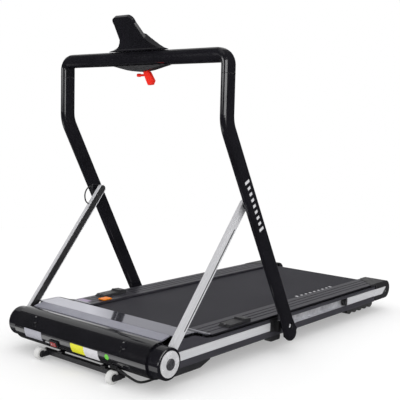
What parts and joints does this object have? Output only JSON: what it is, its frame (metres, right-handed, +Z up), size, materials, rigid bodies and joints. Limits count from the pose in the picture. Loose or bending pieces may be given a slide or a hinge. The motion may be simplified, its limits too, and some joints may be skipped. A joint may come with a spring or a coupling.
{
  "type": "folding treadmill",
  "caption": "Slim motorised treadmill whose U-shaped handlebar frame folds flat over the walking deck on two struts and side tracks.",
  "frame": {"origin": "on the floor, under the middle of the machine", "axes": "+Z up, +Y from the motor end to the belt's rear end, +X to the right when seen from the motor end"},
  "size_m": [0.7004, 1.408, 1.0394],
  "materials": {
    "gloss_black": "gloss black paint with sharp reflections",
    "gloss_black_plastic": "gloss black moulded plastic with sharp reflections",
    "satin_black": "satin black moulded plastic",
    "key_black": "soft matte push keys",
    "silver_cover": "smooth glossy light silver cover",
    "satin_aluminium": "satin extruded aluminium",
    "dark_aluminium": "dark grey anodised, ribbed along its length",
    "frame_steel": "black powder coat",
    "roller_steel": "turned bare steel",
    "black_rubber": "dull black rubber",
    "belt_fabric": "charcoal walking belt with a fine texture",
    "deck_wood": "smooth fibreboard",
    "white_plastic": "plain white nylon",
    "red_plastic": "bright red plastic",
    "display_glass": "dark smoked window"
  },
  "bodies": {
    "chassis": {"belly_pan": "satin_black", "controller_box": "satin_black", "cover_strip": "silver_cover", "deck_board": "deck_wood", "drive_belt": "black_rubber", "drive_motor": "roller_steel", "end_collar_left": "gloss_black_plastic", "end_collar_right": "gloss_black_plastic", "end_disc_left": "satin_aluminium", "end_disc_right": "satin_aluminium", "fold_lock_left": "satin_black", "fold_lock_right": "satin_black", "foot_rail_left": "dark_aluminium", "foot_rail_right": "dark_aluminium", "frame_rest_left": "satin_black", "frame_rest_right": "satin_black", "front_cross_member": "frame_steel", "front_trim_left": "satin_aluminium", "front_trim_right": "satin_aluminium", "housing_shell": "gloss_black_plastic", "mains_coil": "black_rubber", "mains_cord": "black_rubber", "mains_plug": "satin_black", "motor_cover": "silver_cover", "power_inlet": "satin_black", "power_switch": "satin_black", "rear_cross_member": "frame_steel", "rear_end_cap_left": "satin_black", "rear_end_cap_right": "satin_black", "rear_foot_beam": "frame_steel", "rear_foot_left": "black_rubber", "rear_foot_right": "black_rubber", "rear_trim_left": "satin_aluminium", "rear_trim_right": "satin_aluminium", "running_belt": "belt_fabric", "side_frame_left": "dark_aluminium", "side_frame_right": "dark_aluminium", "wheel_axle_bar": "satin_black"},
    "left_strut": {"strut_left": "satin_aluminium"},
    "right_strut": {"strut_right": "satin_aluminium"},
    "handlebar_frame": {"upright_left": "gloss_black", "upright_right": "gloss_black", "handlebar_hoop": "gloss_black", "console_body": "gloss_black_plastic", "console_cowl": "satin_black", "display_lens": "display_glass", "wiring_cable": "black_rubber"},
    "left_track_roller": {"slide_roller_left": "white_plastic"},
    "right_track_roller": {"slide_roller_right": "white_plastic"},
    "slower_button": {"key_slower": "key_black"},
    "start_button": {"key_start": "key_black"},
    "faster_button": {"key_faster": "key_black"},
    "stop_key": {"safety_key": "red_plastic"},
    "front_belt_roller": {"front_roller": "roller_steel"},
    "rear_belt_roller": {"rear_roller": "roller_steel"},
    "motor_shaft": {"motor_pulley": "roller_steel"},
    "left_wheel": {"transport_wheel_left": "white_plastic"},
    "right_wheel": {"transport_wheel_right": "white_plastic"},
    "power_rocker": {"switch_rocker": "red_plastic"}
  },
  "joints": [
    {"name": "frame_fold", "type": "hinge", "parent": "chassis", "child": "left_strut", "pos_m": [-0.3105, -0.633, 0.0823], "axis": [-1, 0, 0], "range_deg": [0, 47.5]},
    {"name": "right_strut_fold", "type": "hinge", "parent": "chassis", "child": "right_strut", "pos_m": [0.3105, -0.633, 0.0823], "axis": [-1, 0, 0], "range_deg": [0, 47.5]},
    {"name": "elbow_fold", "type": "hinge", "parent": "left_strut", "child": "handlebar_frame", "pos_m": [-0.3105, -0.302, 0.491], "axis": [1, 0, 0], "range_deg": [0, 105.7], "deforming": ["wiring_cable"]},
    {"name": "left_track_roller_spin", "type": "hinge", "parent": "handlebar_frame", "child": "left_track_roller", "pos_m": [-0.2905, -0.0825, 0.0865], "axis": [1, 0, 0], "continuous": true},
    {"name": "right_track_roller_spin", "type": "hinge", "parent": "handlebar_frame", "child": "right_track_roller", "pos_m": [0.2905, -0.0825, 0.0865], "axis": [1, 0, 0], "continuous": true},
    {"name": "slower_press", "type": "slide", "parent": "handlebar_frame", "child": "slower_button", "axis": [0, -0.7727, -0.6347], "range_m": [0, 0.0012], "stiffness_N_per_m": 800, "springref_m": -0.0005},
    {"name": "start_press", "type": "slide", "parent": "handlebar_frame", "child": "start_button", "axis": [0, -0.7727, -0.6347], "range_m": [0, 0.0012], "stiffness_N_per_m": 800, "springref_m": -0.0005},
    {"name": "faster_press", "type": "slide", "parent": "handlebar_frame", "child": "faster_button", "axis": [0, -0.7727, -0.6347], "range_m": [0, 0.0012], "stiffness_N_per_m": 800, "springref_m": -0.0005},
    {"name": "stop_key_pull", "type": "slide", "parent": "handlebar_frame", "child": "stop_key", "axis": [0, 0, -1], "range_m": [0, 0.03]},
    {"name": "belt_drive", "type": "hinge", "parent": "chassis", "child": "front_belt_roller", "pos_m": [0, -0.528, 0.0876], "axis": [1, 0, 0], "continuous": true},
    {"name": "rear_roller_spin", "type": "hinge", "parent": "chassis", "child": "rear_belt_roller", "pos_m": [0, 0.639, 0.0876], "axis": [1, 0, 0], "continuous": true},
    {"name": "motor_spin", "type": "hinge", "parent": "chassis", "child": "motor_shaft", "pos_m": [0, -0.633, 0.0823], "axis": [1, 0, 0], "continuous": true},
    {"name": "left_wheel_roll", "type": "hinge", "parent": "chassis", "child": "left_wheel", "pos_m": [-0.158, -0.685, 0.019], "axis": [1, 0, 0], "continuous": true},
    {"name": "right_wheel_roll", "type": "hinge", "parent": "chassis", "child": "right_wheel", "pos_m": [0.158, -0.685, 0.019], "axis": [1, 0, 0], "continuous": true},
    {"name": "power_rock", "type": "hinge", "parent": "chassis", "child": "power_rocker", "pos_m": [-0.096, -0.68413, 0.05996], "axis": [1, 0, 0], "range_deg": [0, 14]}
  ],
  "couplings": [
    {"joint": "right_strut_fold", "follows": "frame_fold", "ratio": 1},
    {"joint": "elbow_fold", "follows": "frame_fold", "ratio": 2.225},
    {"joint": "rear_roller_spin", "follows": "belt_drive", "ratio": 1},
    {"joint": "motor_spin", "follows": "belt_drive", "ratio": 1.8333}
  ]
}
